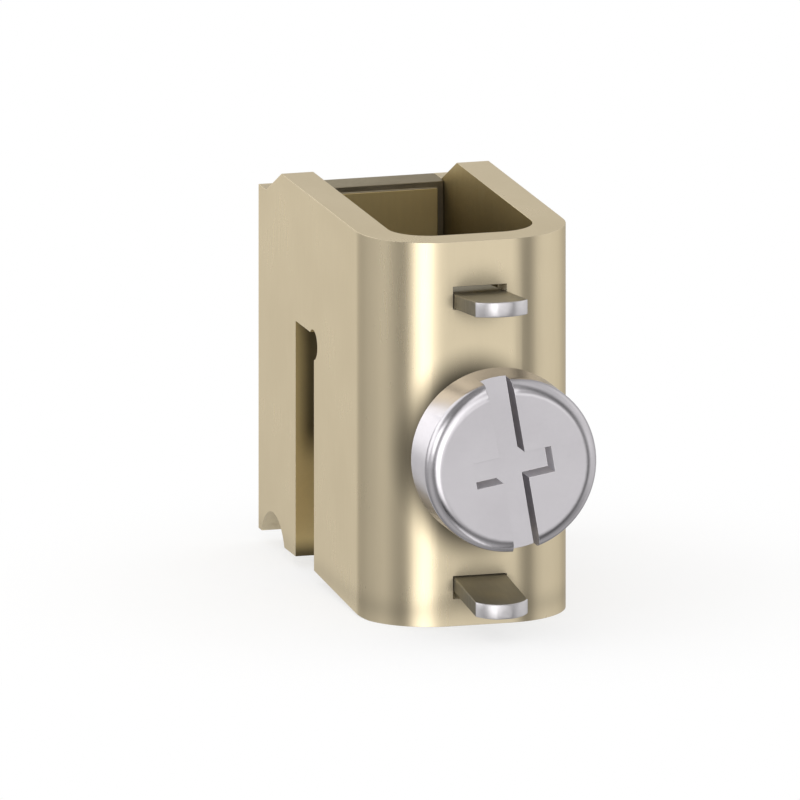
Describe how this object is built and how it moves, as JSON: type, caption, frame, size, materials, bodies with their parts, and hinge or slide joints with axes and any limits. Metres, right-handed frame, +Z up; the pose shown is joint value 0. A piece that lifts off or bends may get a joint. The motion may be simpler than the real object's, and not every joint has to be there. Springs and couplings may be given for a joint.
{
  "type": "busbar terminal connector",
  "caption": "Cage clamp that hooks over a flat busbar from above. A cheese-head screw drives a pressure plate that clamps a cable against the bar.",
  "frame": {"origin": "centre of the bottom of the whole part's box, with the screw as the picture shows it", "axes": "+X across the cage, +Y from the screw head to the back plate, +Z up, out of the end that the cable comes from"},
  "size_m": [0.0162, 0.0418, 0.0296],
  "materials": {
    "cage_metal": "plated a pale champagne colour, satin",
    "back_plate_metal": "plated like the cage but darker, satin",
    "bright_steel": "bright zinc plating"
  },
  "bodies": {
    "cage": {"cage": "cage_metal", "back_plate": "back_plate_metal"},
    "pressure_plate": {"pressure_plate": "bright_steel"},
    "clamp_screw": {"clamp_screw": "bright_steel"}
  },
  "joints": [
    {"name": "plate_slide", "type": "slide", "parent": "cage", "child": "pressure_plate", "axis": [0, 1, 0], "range_m": [-0.0002, 0.00455]},
    {"name": "screw_turn", "type": "hinge", "parent": "pressure_plate", "child": "clamp_screw", "pos_m": [0, -0.00333, 0.01412], "axis": [0, 1, 0], "range_deg": [-57.5, 1310.3]}
  ],
  "couplings": [
    {"joint": "plate_slide", "follows": "screw_turn", "m_per_rad": 0.00019894}
  ]
}
